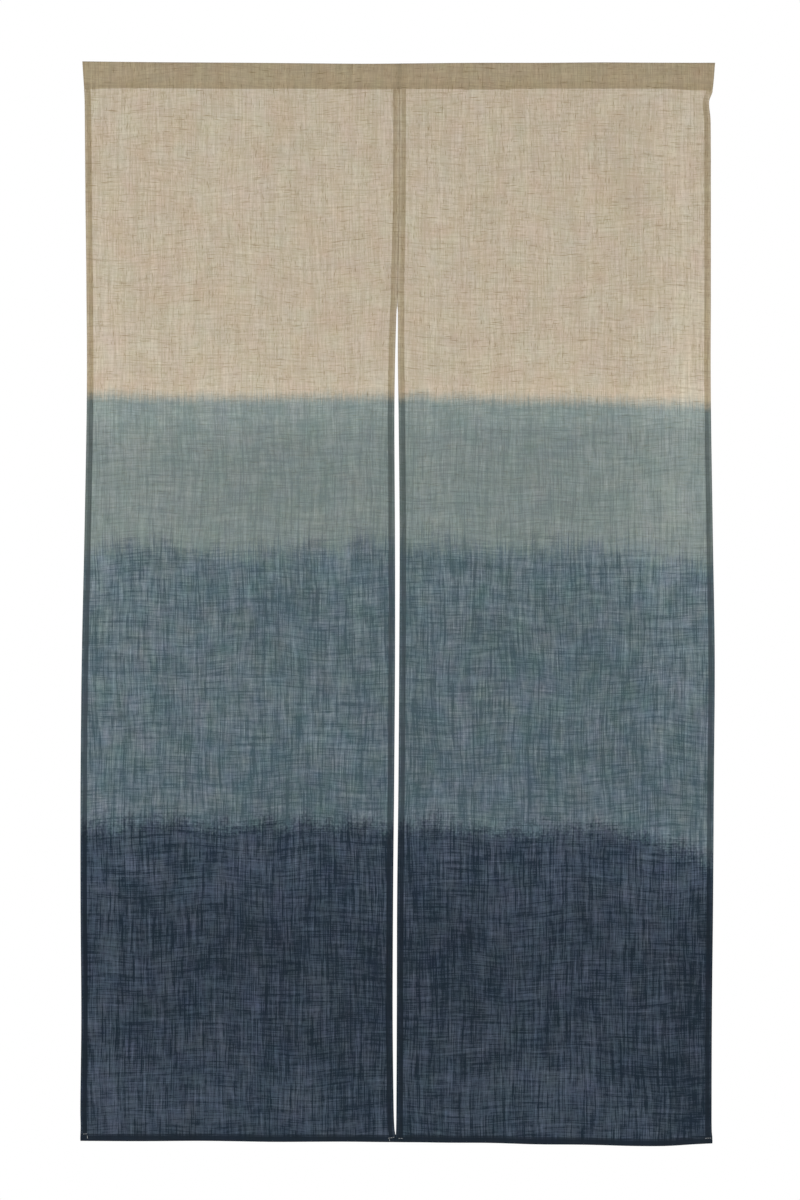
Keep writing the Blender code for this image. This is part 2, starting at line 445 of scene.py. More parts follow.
def forward(half, x, drop):
    """How far folds, creases and puckers bring the cloth towards the viewer."""
    down = (drop - FOLDS_START) / (DROP - FOLDS_START)
    total = np.zeros(np.broadcast(x, drop).shape)
    for fold in FOLDS[half]:
        middle = fold.x_top + (fold.x_low - fold.x_top) * down
        width = fold.width_top + (fold.width_low - fold.width_top) * down
        upper = fold.depth_top + (fold.depth_mid - fold.depth_top) * ease(2 * down)
        depth = upper + (fold.depth_low - fold.depth_mid) * ease(2 * down - 1)
        total += depth * np.exp(-(((x - middle) / width) ** 2))
    for crease in CREASES:
        if (crease.x < 0) != (half == "left"):
            continue
        lean = math.radians(crease.lean)
        aside, below = x - crease.x, drop - crease.drop
        along = below * math.cos(lean) + aside * math.sin(lean)
        across = aside * math.cos(lean) - below * math.sin(lean)
        away = (along / crease.length) ** 2 + (across / crease.width) ** 2
        total += crease.height * np.exp(-away)
    total += RIPPLE * ripple(x + 0.3 * drop, 96.0, 1.3) * ripple(drop, 210.0, 0.4)
    total *= ease((drop - FOLDS_START) / (FOLDS_FULL - FOLDS_START))
    left, right = width_edges(half, drop)
    for edge, inward, phase in ((left, 1, 0.6), (right, -1, 2.2)):
        sewn = np.exp(-((((x - edge) * inward - SIDE_HEM) / 8.0) ** 2))
        total += SIDE_PUCKER * sewn * ripple(drop, 17.0, phase) * ease((drop - FOLDS_START) / 20)
    gathered = np.exp(-(((drop - 46.0) / 9.0) ** 2)) * ease((drop - FOLDS_START) / 8)
    total += HEADING_PUCKER * gathered * ripple(x, 23.0, 0.9)
    hemmed = np.exp(-(((drop - DROP + 15.0) / 8.0) ** 2))
    return total + LOWER_PUCKER * hemmed * ripple(x, 19.0, 1.7)


def thinness(x, drop):
    """How much paler or darker the cloth is in patches, as a change of its tone, with a painted
    highlight and painted shade along one fold.
    """
    total = np.zeros(np.broadcast(x, drop).shape)
    for thin in PALE_PATCHES_AND_FOLD_SHADE:
        aside, below = (x - thin.x) / thin.across, (drop - thin.drop) / thin.down
        total += thin.tone * np.exp(-(aside**2) - below**2)
    return total


def height(x, drop):
    """Z of points of the cloth, between its uneven edges and past the sagging sewn line."""
    share = drop / DROP
    rise = smooth_through(EDGES, "x", "top_rise", x)
    fall = smooth_through(EDGES, "x", "lower_fall", x)
    near_line = ease(drop / SLEEVE_STITCH) * (1 - ease((drop - PANEL_TOP) / 70))
    sag = smooth_through(SAGS, "x", "depth", x) * near_line
    return rise * (1 - share) - drop - fall * share - sag


def place(half, x, drop, depth):
    """Points of the hanging cloth, in metres."""
    x, drop, depth = np.broadcast_arrays(x, drop, depth)
    y = FRONT_LAYER - forward(half, x, drop) + depth
    return np.stack([x, y, height(x, drop)], axis=-1) * MM


def offset_line(line, distance):
    """A line's points moved square to it, and mitred where it turns."""
    line = np.array(line, float)
    steps = np.diff(line, axis=0)
    into = np.concatenate([steps[:1], steps])
    out = np.concatenate([steps, steps[-1:]])
    first = np.arctan2(into[:, 1], into[:, 0])
    turn = (np.arctan2(out[:, 1], out[:, 0]) - first + math.pi) % (2 * math.pi) - math.pi
    reach = distance / np.cos(turn / 2)
    heading = first + turn / 2
    return line + np.stack([-np.sin(heading) * reach, np.cos(heading) * reach], axis=-1)


def both_faces(line, thickness):
    """The closed outline of a sheet along a line: out on one face and back on the other."""
    out, back = offset_line(line, thickness / 2), offset_line(line, -thickness / 2)
    return np.concatenate([out, back[::-1]])


def turn_back(start, end, steps=5):
    """Points of a half circle from one (along, depth) to another behind it, without its ends."""
    radius = (end[1] - start[1]) / 2
    angles = [math.pi * n / steps for n in range(1, steps)]
    bulge = abs(radius)
    return [
        (start[0] + bulge * math.sin(a), start[1] + radius * (1 - math.cos(a))) for a in angles
    ]


def cloth_steps(sizes):
    """Thickness of one layer, and from one folded layer to the next, in millimetres."""
    return sizes.cloth / MM, sizes.layer_step / MM


def hem_line(width, layer):
    """The hem's path from its raw edge to where the front layer begins, as (inward, depth)."""
    inner = [(RAW_TURN, layer), (5.0, layer), (width - layer / 2, layer)]
    inner += turn_back((width - layer / 2, layer), (width - layer / 2, 2 * layer))
    outer = [(width - layer / 2, 2 * layer), (5.0, 2 * layer), (layer, 2 * layer)]
    back = turn_back((0.0, 2 * layer), (0.0, 0.0), steps=6)
    return inner + outer + [(layer - along, depth) for along, depth in back] + [(layer, 0.0)]


# Meshes


def give(mesh, **values):
    """Gives each point of a mesh its values, for the material to read."""
    for name, value in values.items():
        attribute = mesh.attributes.new(name, "FLOAT", "POINT")
        attribute.data.foreach_set("value", np.ascontiguousarray(value, dtype=np.float32).ravel())


def sheet_mesh(name, points, **values):
    """A closed sheet through rings of points, each going out on one face and back on the other."""
    rows, count = points.shape[:2]
    index = np.arange(rows * count).reshape(rows, count)
    after = np.roll(index, -1, axis=1)
    sides = np.stack([index[:-1], after[:-1], after[1:], index[1:]], axis=-1).reshape(-1, 4)
    half = count // 2
    out, back = index[:, :half], index[:, : half - 1 : -1]
    ends = []
    for row, order in ((0, slice(None, None, -1)), (rows - 1, slice(None))):
        strip = np.stack([out[row, :-1], out[row, 1:], back[row, 1:], back[row, :-1]], axis=-1)
        ends.append(strip[:, order])
    faces = np.concatenate([sides, *ends])
    mesh = bpy.data.meshes.new(name)
    mesh.from_pydata(points.reshape(-1, 3).tolist(), [], faces.tolist())
    give(mesh, **values)
    return mesh


def joined(meshes, name):
    """One mesh of several, with their layers and their tone patches, painted fold shade among them,
    kept.
    """
    points, faces, start = [], [], 0
    values = {"layers": [], "thinness": []}
    for mesh in meshes:
        points += [tuple(vertex.co) for vertex in mesh.vertices]
        faces += [[start + n for n in face.vertices] for face in mesh.polygons]
        for key, column in values.items():
            column += [item.value for item in mesh.attributes[key].data]
        start += len(mesh.vertices)
        bpy.data.meshes.remove(mesh)
    made = bpy.data.meshes.new(name)
    made.from_pydata(points, [], faces)
    give(made, **values)
    return made


def show(name, mesh, material, sharp=65.0):
    """The mesh as a piece of the curtain, riding on its one body."""
    mesh.validate()
    mesh.shade_smooth()
    mesh.set_sharp_from_angle(angle=math.radians(sharp))
    mesh.materials.append(material)
    piece = bpy.data.objects.new(name, mesh)
    bpy.context.scene.collection.objects.link(piece)
    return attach(piece, "root")


# Materials


def ends_first(rows):
    """Rows as ramps and curves take them, since those hold their two ends from the start."""
    return rows[0], rows[-1], *rows[1:-1]


def add(tree, kind, inputs=None, out=0, stops=(), points=(), **settings):
    """Adds a node with its settings, sets or links its inputs, and gives one of its outputs."""
    node = tree.nodes.new(kind)
    for name, value in settings.items():
        setattr(node, name, value)
    for socket, value in (inputs or {}).items():
        if isinstance(value, bpy.types.NodeSocket):
            tree.links.new(value, node.inputs[socket])
        else:
            node.inputs[socket].default_value = value
    for n, (at, colour) in enumerate(stops):
        elements = node.color_ramp.elements
        stop = elements[n] if n < 2 else elements.new(at)
        stop.position, stop.color = at, (*colour, 1.0)
    for n, point in enumerate(points):
        curve = node.mapping.curves[0].points
        spot = curve[n] if n < 2 else curve.new(*point)
        spot.location = point
    if points:
        node.mapping.update()
    return node.outputs[out]


def start_material(name):
    """An empty material of that name, its node tree, and the place on the object in metres."""
    material = bpy.data.materials.new(name)
    material.use_nodes = True
    tree = material.node_tree
    tree.nodes.clear()
    return material, tree, add(tree, "ShaderNodeTexCoord", out="Object")


def end_tree(tree, shader, kind="ShaderNodeOutputMaterial"):
    """Makes a shader what the material, or the world, shows."""
    tree.links.new(shader, tree.nodes.new(kind).inputs["Surface"])


def patches(tree, position, across, along, offset=0.5, detail=0.0):
    """Unevenness in patches of a given size across and down the cloth, in millimetres.

    Each offset gives a stretch of the noise of its own, here and in along_yarns.
    """
    scales = (1 / across, 0.0, 1 / along)
    spot = {0: position, 1: scales, 2: (0.0, offset, 0.0)}
    spot = add(tree, VECTOR_MATH, spot, operation="MULTIPLY_ADD")
    return add(tree, NOISE, {"Vector": spot, "Scale": 1.0, "Detail": detail, "Roughness": 0.6})


Weave = namedtuple("Weave", "place numbers crowns")


def plain_weave(tree, woven, sizes):
    """Yarns at their real spacing, finer than a pixel of the whole view.

    Gives the place on the cloth, the numbers of the warp and weft yarns there, and how high each
    one's round back stands: 1 along its middle and 0 between two. Warp is in X and weft in Z.
    """
    steps = (sizes.warp_step / MM, 1.0, sizes.weft_step / MM)
    counted = add(tree, VECTOR_MATH, {0: woven, 1: steps}, operation="DIVIDE")
    numbers = add(tree, VECTOR_MATH, {0: counted}, operation="FLOOR")
    crowns = add(tree, VECTOR_MATH, {0: counted}, operation="FRACTION")
    crowns = add(tree, VECTOR_MATH, {0: crowns, 1: (math.pi,) * 3}, operation="MULTIPLY")
    crowns = add(tree, VECTOR_MATH, {0: crowns}, operation="SINE")
    return Weave(woven, numbers, crowns)


def along_yarns(tree, weave, system, length, offset):
    """Unevenness along single yarns of the warp or the weft, thick and thin by turns."""
    if system == "warp":
        apart, along = (YARNS_APART, 0.0, 0.0), (0.0, 0.0, 1 / length)
    else:
        apart, along = (0.0, 0.0, YARNS_APART), (1 / length, 0.0, 0.0)
    own = {0: weave.numbers, 1: apart, 2: (0.0, offset, 0.0)}
    own = add(tree, VECTOR_MATH, own, operation="MULTIPLY_ADD")
    spot = add(tree, VECTOR_MATH, {0: weave.place, 1: along, 2: own}, operation="MULTIPLY_ADD")
    return add(tree, NOISE, {"Vector": spot, "Scale": 1.0, "Detail": 0.0})


def dye_depth(tree, position, weave, x, drop, clouds):
    """0 for undyed cloth, then a quarter more for each bath, with the second counted twice."""
    across = add(tree, MATH, {0: x, 1: 1 / CURTAIN_SPAN, 2: 0.5}, operation="MULTIPLY_ADD")
    # Dye climbs single yarns as upright fingers, and spreads where the cloth lay wet.
    fingers = along_yarns(tree, weave, "warp", 55.0, offset=3.5)
    tufts = patches(tree, position, 2.6, 2.8, offset=5.5)
    total = None
    for line in SOAKS:
        middle = DYE_MIDDLES[line.bath]
        points = [
            (row.x / CURTAIN_SPAN + 0.5, (getattr(row, line.bath) - middle) / DYE_SPAN + 0.5)
            for row in ends_first(DYE_LINES)
        ]
        level = add(tree, "ShaderNodeFloatCurve", {"Value": across}, points=points)
        raggedness = (line.climb + line.spread + line.speckle) / 2
        start = middle - DYE_SPAN / 2 + raggedness
        edge = add(tree, MATH, {0: level, 1: DYE_SPAN, 2: start}, operation="MULTIPLY_ADD")
        below = add(tree, MATH, {0: drop, 1: edge}, operation="SUBTRACT")
        for noise, reach in ((fingers, line.climb), (clouds, line.spread), (tufts, line.speckle)):
            below = add(tree, MATH, {0: noise, 1: reach, 2: below}, operation="MULTIPLY_ADD")
        limits = {"Value": below, "From Min": -line.soft, "From Max": line.soft, "To Max": 0.25}
        bath = add(tree, "ShaderNodeMapRange", limits, interpolation_type="SMOOTHSTEP")
        total = bath if total is None else add(tree, MATH, {0: total, 1: bath}, operation="ADD")
    # Between the last two lines the cloth deepens little by little.
    span = {"Value": drop, "From Min": 675.0, "From Max": 1060.0, "To Max": 0.25}
    deepening = add(tree, "ShaderNodeMapRange", span)
    return add(tree, MATH, {0: total, 1: deepening}, operation="ADD")


def weave_relief(tree, weave):
    """Height of the yarns, 0 to 1, each passing over one and under the next."""
    crowns = add(tree, "ShaderNodeSeparateXYZ", {0: weave.crowns}).node
    number = add(tree, "ShaderNodeSeparateXYZ", {0: weave.numbers}).node
    order = add(tree, MATH, {0: number.outputs["X"], 1: number.outputs["Z"]}, operation="ADD")
    over = add(tree, MATH, {0: order, 1: 2.0}, operation="FLOORED_MODULO")
    top = {"Factor": over, 2: crowns.outputs["Z"], 3: crowns.outputs["X"]}
    return add(tree, "ShaderNodeMix", top)


def openings(tree, weave):
    """1 in the hole between four yarns and 0 on a yarn, about 0.13 on the whole."""
    holes = add(tree, VECTOR_MATH, {0: (1.0, 1.0, 1.0), 1: weave.crowns}, operation="SUBTRACT")
    holes = add(tree, "ShaderNodeSeparateXYZ", {0: holes}).node
    return add(tree, MATH, {0: holes.outputs["X"], 1: holes.outputs["Z"]}, operation="MULTIPLY")


def with_bark(tree, weave, depth, colour, tint):
    """Adds bits of bark, 5 to 20 mm long, spun into single yarns. They drown in the darker dyes."""
    upright = along_yarns(tree, weave, "warp", 8.0, offset=21.5)
    level = along_yarns(tree, weave, "weft", 13.0, offset=23.5)
    barky = add(tree, MATH, {0: upright, 1: level}, operation="MAXIMUM")
    strength = {"Value": depth, "From Max": 0.5, "To Min": 0.85, "To Max": 0.1}
    strength = add(tree, "ShaderNodeMapRange", strength)
    bark = {"Value": barky, "From Min": 0.67, "From Max": 0.95, "To Max": strength}
    bark = add(tree, "ShaderNodeMapRange", bark)
    barked = add(tree, VECTOR_MATH, {0: colour, 1: tuple(tint)}, operation="MULTIPLY")
    mixed = {"Factor": bark, 6: colour, 7: barked}
    return add(tree, "ShaderNodeMix", mixed, out=2, data_type="RGBA")


def weave_tone(tree, woven, weave, clouds, shift):
    """How open the weave is, 0 for thick yarns and 1 for open cloth, and where its slubs are."""
    weights = sum(row.weight for row in (*YARN_TONES, *STREAKS)) + CLOUD_WEIGHT
    # The patches read here carry a painted highlight and painted shade along one fold.
    tone = add(tree, "ShaderNodeAttribute", out="Fac", attribute_name="thinness")
    tone = add(tree, MATH, {0: tone, 1: OPEN_SHARE + shift - weights / 2}, operation="ADD")
    tone = add(tree, MATH, {0: clouds, 1: CLOUD_WEIGHT, 2: tone}, operation="MULTIPLY_ADD")
    for n, row in enumerate(YARN_TONES):
        uneven = along_yarns(tree, weave, row.system, row.length, offset=0.5 + 2 * n)
        tone = add(tree, MATH, {0: uneven, 1: row.weight, 2: tone}, operation="MULTIPLY_ADD")
    for n, row in enumerate(STREAKS):
        uneven = patches(tree, woven, row.across, row.along, offset=8.5 + 2 * n)
        tone = add(tree, MATH, {0: uneven, 1: row.weight, 2: tone}, operation="MULTIPLY_ADD")
    for n, row in enumerate(SLUBS):
        uneven = along_yarns(tree, weave, row.system, row.length, offset=15.5 + 2 * n)
        thick = {"Value": uneven, "From Min": 0.6, "From Max": 0.7}
        thick = add(tree, "ShaderNodeMapRange", thick, interpolation_type="SMOOTHSTEP")
        tone = add(tree, MATH, {0: thick, 1: row.weight, 2: tone}, operation="MULTIPLY_ADD")
    return tone, thick


def single_layer(tree, weave, tone, thick_shade, open_shade):
    """One layer of cloth. Light comes through its holes, and more where the yarns are thin."""
    shine = {0: openings(tree, weave), 1: HOLE_SHINE, 2: 1 - HOLE_SHINE * MEAN_HOLE}
    shine = add(tree, MATH, shine, operation="MULTIPLY_ADD")
    lit = add(tree, MATH, {0: tone, 1: 0.0}, operation="MAXIMUM")
    lit = add(tree, MATH, {0: lit, 1: shine}, operation="MULTIPLY")
    mixed = {"Factor": lit, 6: thick_shade, 7: open_shade}
    return add(tree, "ShaderNodeMix", mixed, out=2, data_type="RGBA", clamp_factor=False)


def folded_layers(tree, tone, layers, shade):
    """Folded cloth, darker with painted shade, as less light comes through its layers. Its layers
    fill each other's holes: it is plain, and darkest in creases, with painted shadow.
    """
    plain = add(tree, "ShaderNodeMapRange", {"Value": tone, "To Min": 0.88, "To Max": 1.14})
    # Painted shadow: darkest along the seam, the sleeve's top fold and where hems cross.
    crease = {"Value": layers, "From Min": 1.05, "From Max": 1.6, "To Min": 1.0, "To Max": 0.6}
    crease = add(tree, "ShaderNodeMapRange", crease)
    plain = add(tree, MATH, {0: plain, 1: crease}, operation="MULTIPLY")
    return add(tree, VECTOR_MATH, {0: shade, "Scale": plain}, operation="SCALE")


def settled_and_painted_light(tree, colour, drop):
    """Lightens and darkens the colour down the cloth, partly as the dye has settled and partly as
    painted light and shade.
    """
    rows = ends_first(SETTLING_AND_LIGHT_FALL)
    points = [(row.drop / SETTLE_AND_LIGHT_SPAN, row.share / SETTLE_AND_LIGHT_TOP) for row in rows]
    down = add(tree, MATH, {0: drop, 1: 1 / SETTLE_AND_LIGHT_SPAN}, operation="MULTIPLY")
    share = add(tree, "ShaderNodeFloatCurve", {"Value": down}, points=points)
    share = add(tree, MATH, {0: share, 1: SETTLE_AND_LIGHT_TOP}, operation="MULTIPLY")
    return add(tree, VECTOR_MATH, {0: colour, "Scale": share}, operation="SCALE")


def tinted(tree, colour, depth, clouds):
    """Tints the colour in clouds.

    Flax is a little browner where it is darker. Dye takes unevenly, redder where it is paler.
    """
    amount = {"Value": depth, "From Max": 0.4, "To Min": -0.16, "To Max": 0.36}
    amount = add(tree, "ShaderNodeMapRange", amount)
    tint = {0: clouds.node.outputs["Color"], 1: (1.0, 0.5, 0.8), 2: (-0.5, -0.25, -0.4)}
    tint = add(tree, VECTOR_MATH, tint, operation="MULTIPLY_ADD")
    tint = {0: tint, 1: amount, 2: (1.0, 1.0, 1.0)}
    tint = add(tree, VECTOR_MATH, tint, operation="MULTIPLY_ADD")
    return add(tree, VECTOR_MATH, {0: colour, 1: tint}, operation="MULTIPLY")


def slub_linen(name, sizes, dyes, tone_shift=0.0, layers=None):
    """Slub-woven linen-look cloth, dip-dyed: matt, with yarns that look dark where they are thick.

    Light comes between the yarns of one layer, so folded layers look deeper. layers says how folded
    a piece is, and where it is left out the mesh says it.
    """
    material, tree, metres = start_material(name)
    position = add(tree, VECTOR_MATH, {0: metres, "Scale": 1 / MM}, operation="SCALE")
    split = add(tree, "ShaderNodeSeparateXYZ", {0: position}).node
    drop = add(tree, MATH, {0: split.outputs["Z"], 1: -1.0}, operation="MULTIPLY")
    # The yarns wander by a few millimetres over a hand's width.
    wide = {"Vector": position, "Scale": 1 / 125, "Detail": 0.0}
    wander = add(tree, NOISE, wide, out="Color")
    wander = {0: wander, 1: (8.0, 0.0, 20.0), 2: position}
    woven = add(tree, VECTOR_MATH, wander, operation="MULTIPLY_ADD")
    weave = plain_weave(tree, woven, sizes)
    clouds = patches(tree, position, 27.0, 32.0, offset=1.5, detail=2.0)
    tone, slubs = weave_tone(tree, woven, weave, clouds, tone_shift)

    depth = dye_depth(tree, position, weave, split.outputs["X"], drop, clouds)
    shades = []
    for look in ("thick", "open", "folded"):
        shade = [(n / 4, getattr(dyes, f"{bath}_{look}")) for n, bath in enumerate(BATHS)]
        stops = ends_first(shade)
        shades.append(add(tree, "ShaderNodeValToRGB", {0: depth}, stops=stops))
    if layers is None:
        layers = add(tree, "ShaderNodeAttribute", out="Fac", attribute_name="layers")
    single = single_layer(tree, weave, tone, *shades[:2])
    folded = folded_layers(tree, tone, layers, shades[2])
    colour = {"Factor": layers, 6: single, 7: folded}
    colour = add(tree, "ShaderNodeMix", colour, out=2, data_type="RGBA")
    colour = with_bark(tree, weave, depth, colour, dyes.bark)
    colour = tinted(tree, settled_and_painted_light(tree, colour, drop), depth, clouds)

    relief = weave_relief(tree, weave)
    relief = add(tree, MATH, {0: slubs, 1: 0.8, 2: relief}, operation="MULTIPLY_ADD")
    bump = {"Height": relief, "Strength": 0.35, "Distance": 0.22 * MM}
    normal = add(tree, "ShaderNodeBump", bump)
    # Cellulose has an IOR of 1.53, and its loose fibres give a faint dry sheen.
    cloth = {
        "Base Color": colour,
        "Roughness": 0.92,
        "IOR": 1.53,
        "Specular IOR Level": 0.1,
        "Sheen Weight": 0.03,
        "Sheen Roughness": 0.6,
        "Normal": normal,
    }
    surface = add(tree, "ShaderNodeBsdfPrincipled", cloth)
    through = add(tree, "ShaderNodeBsdfTranslucent", {"Color": colour, "Normal": normal})
    end_tree(tree, add(tree, "ShaderNodeMixShader", {0: 0.2, 1: surface, 2: through}))
    return material


def spun_polyester(name, colour):
    """Undyed spun polyester thread, sewn on after the dyeing: pale, matt and finely twisted."""
    material, tree, metres = start_material(name)
    # One twist takes about 0.6 mm.
    twist = add(tree, NOISE, {"Vector": metres, "Scale": 1 / (0.6 * MM), "Detail": 1.0})
    shade = add(tree, "ShaderNodeMapRange", {"Value": twist, "To Min": 0.7, "To Max": 1.15})
    tinted = add(tree, VECTOR_MATH, {0: tuple(colour), "Scale": shade}, operation="SCALE")
    thread = {"Base Color": tinted, "Roughness": 0.7, "IOR": 1.58, "Sheen Weight": 0.15}
    end_tree(tree, add(tree, "ShaderNodeBsdfPrincipled", thread))
    return material


def matt_floor(name, colour):
    """Matt painted board: pale, with faint clouding from the roller."""
    material, tree, metres = start_material(name)
    cloud = add(tree, NOISE, {"Vector": metres, "Scale": 3.0, "Detail": 2.0})
    shade = add(tree, "ShaderNodeMapRange", {"Value": cloud, "To Min": 0.97, "To Max": 1.03})
    tinted = add(tree, VECTOR_MATH, {0: tuple(colour), "Scale": shade}, operation="SCALE")
    paint = {"Base Color": tinted, "Roughness": 0.85, "IOR": 1.5}
    end_tree(tree, add(tree, "ShaderNodeBsdfPrincipled", paint))
    return material


def kept(maker, name, *details, **more):
    """The material of that name, made the first time it is asked for."""
    return bpy.data.materials.get(name) or maker(name, *details, **more)


def cloth_finish(scene):
    """The cloth of the widths and the sleeve."""
    name = "dip-dyed slub-woven linen-look cloth"
    return kept(slub_linen, name, scene.noren_sizes, scene.noren_dyes)


# Pieces


class NOREN_OT_widths(bpy.types.Operator):
    """Builds the two hemmed cloth widths, from the sleeve's lower edge down"""

    bl_idname = "noren.widths"
    bl_label = "Cloth Widths"

    def execute(self, context):
        sizes = context.scene.noren_sizes
        finish = cloth_finish(context.scene)
        for half in ("left", "right"):
            parts = [hemmed_width(half, sizes), lower_hem(half, sizes)]
            piece = show(f"{half}_width_cloth", joined(parts, f"{half}_width_cloth"), finish)
            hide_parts(f"{half}_panel")
        return {"FINISHED"}


def front_columns(width):
    """Places of the front layer across a width, close where the layers behind it end."""
    edge = [1.2, 2.8, 3.5, 5.5, 8.7, 9.2, 12.0]
    inner = np.linspace(UNSTRETCHED, width - UNSTRETCHED, 70).tolist()
    return edge + inner + [width - at for at in reversed(edge)]


def cloth_rows():
    """The drops at which a width is drawn, closer where it is gathered or sewn."""
    upper = np.arange(PANEL_TOP, 100.0, 2.5)
    middle = np.arange(102.0, DROP - 30.0, 5.0)
    lower = np.arange(DROP - 28.0, DROP - 12.0, 2.5)
    hem = DROP - LOWER_HEM + np.array([-0.8, -0.3, 0.3, 2.6, 3.2, 6.0, LOWER_HEM - 1.3])
    return np.concatenate([upper, middle, lower, hem])


def spread(half, inward, drop, nominal):
    """X of places across a nominal width: its hems keep their size and the rest stretches."""
    left, right = (edge[:, None] for edge in width_edges(half, drop))
    share = np.clip((inward - UNSTRETCHED) / (nominal - 2 * UNSTRETCHED), 0.0, 1.0)
    return left + inward + (right - left - nominal) * share


def layer_and_seam_shade(half, inward, nominal, drop):
    """How much painted shade the layers folded behind give the cloth, as less light comes through
    them: 0 to 1, and more with a painted shadow in a crease.
    """
    edge = np.minimum(inward, nominal - inward)
    # Three layers lie on each other in a hem, and two next to its fold.
    side = np.where(edge < 3.0, 0.66, np.where(edge < SIDE_HEM, 1.0, 0.0))
    from_seam = nominal - inward if half == "left" else inward
    # These hems were pressed thinner than the left outer one.
    side = side * np.where((from_seam < nominal / 2) | (half == "right"), 0.92, 1.0)
    # Where the widths meet, the seam is a dark line of painted shadow.
    side = np.where((from_seam < 0.4) & (drop < SEAM_END), 1.3, side)
    # The right width is pulled in under the heading, which draws its outer hem open.
    outer_hem = (from_seam > nominal - SIDE_HEM) * (half == "right")
    drawn = np.exp(-(((drop - 44.0) / 8.0) ** 2)) * outer_hem
    side = side * (1 - 0.45 * drawn)
    below = drop - (DROP - LOWER_HEM)
    low = np.where(below < 0.0, 0.0, np.where(below < RAW_TURN, 0.7, 1.0))
    return np.maximum(side, low) + 0.1 * (side > 0) * (low > 0)


def hemmed_width(half, sizes):
    """The width with its two side hems turned twice to the back."""
    cloth, layer = cloth_steps(sizes)
    hem = hem_line(SIDE_HEM, layer)
    front = [(at, 0.0) for at in front_columns(NOMINAL)]
    line = hem + front + [(NOMINAL - at, depth) for at, depth in reversed(hem)]
    ring = both_faces(line, cloth)
    drop = cloth_rows()
    x = spread(half, ring[None, :, 0], drop, NOMINAL)
    points = place(half, x, drop[:, None], ring[None, :, 1])
    layers = layer_and_seam_shade(half, ring[None, :, 0], NOMINAL, drop[:, None])
    return sheet_mesh("width", points, layers=layers, thinness=thinness(x, drop[:, None]))


def lower_hem(half, sizes):
    """The lower hem, turned twice to the back over the ends of the side hems."""
    cloth, layer = cloth_steps(sizes)
    line = [(at, depth) for at, depth in reversed(hem_line(LOWER_HEM, layer))]
    line[0] = (1.3, 0.0)
    ring = both_faces(line, cloth)
    stations = np.array([0.0, 0.5, *front_columns(NOMINAL), NOMINAL - 0.5, NOMINAL])
    drop = DROP - ring[None, :, 0]
    flat_drop = np.full(len(stations), DROP)
    x = spread(half, stations[None, :], flat_drop[:1], NOMINAL).T
    edge = np.minimum(stations, NOMINAL - stations)[:, None]
    over_side_hem = 2 * layer * (1 - ease((edge - SIDE_HEM) / 3.0))
    turned = np.clip(ring[None, :, 1] / (2 * layer), 0, 1)
    # What lies behind the hem's fold, from the line's seventh point on, rides on the side hems.
    past_fold = np.concatenate([np.arange(len(line)), np.arange(len(line))[::-1]]) > 6
    turned = np.where(past_fold[None, :], 1.0, turned)
    points = place(half, x, drop, ring[None, :, 1] + over_side_hem * turned)
    # Painted shade: the hem is darker, and most where it lies over the side hems.
    layers = np.broadcast_to(np.where(edge < SIDE_HEM, 1.1, 1.0), points.shape[:2])
    even = np.zeros(layers.shape)
    return sheet_mesh("lower hem", points[:, ::-1], layers=layers[:, ::-1], thinness=even)


class NOREN_OT_headings(bpy.types.Operator):
    """Builds the two halves of the rod sleeve, folded to the back with the raw edge turned under"""

    bl_idname = "noren.headings"
    bl_label = "Rod Sleeve"

    def execute(self, context):
        finish = cloth_finish(context.scene)
        for half in ("left", "right"):
            piece = show(f"{half}_heading_cloth", heading(half, context.scene.noren_sizes), finish)
            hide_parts(f"{half}_sleeve")
        return {"FINISHED"}


def pocket_line(layer):
    """The heading's section as (depth, drop): up the front, over, down the back and inside."""
    rows = 14
    front, back = [], []
    exponent = math.log(0.5) / math.log(POCKET_FULLEST)
    for n in range(1, rows + 1):
        share = (n / rows) ** CROWDING
        bulge = math.sin(math.pi * share**exponent)
        drop = 0.3 + (SLEEVE_STITCH - 0.3) * share
        front.append((-POCKET_FRONT * bulge, drop))
        settle = float(ease(3 * share))
        back.append((2 * layer * settle + (POCKET_BACK - FRONT_LAYER - 2 * layer) * bulge, drop))
    fold = [(2 * layer, SLEEVE_DEPTH - layer / 2)]
    turn = turn_back((SLEEVE_DEPTH - layer / 2, 2 * layer), (0, layer))
    fold += [(depth, drop) for drop, depth in turn]
    fold += [(layer, SLEEVE_DEPTH - layer / 2), (layer, 31.0), (layer, 27.2)]
    up = [(0.0, PANEL_TOP), (0.0, 33.6), *reversed(front), (0.25, 0.22)]
    return [*up, *back, (2 * layer, 33.4), *fold]


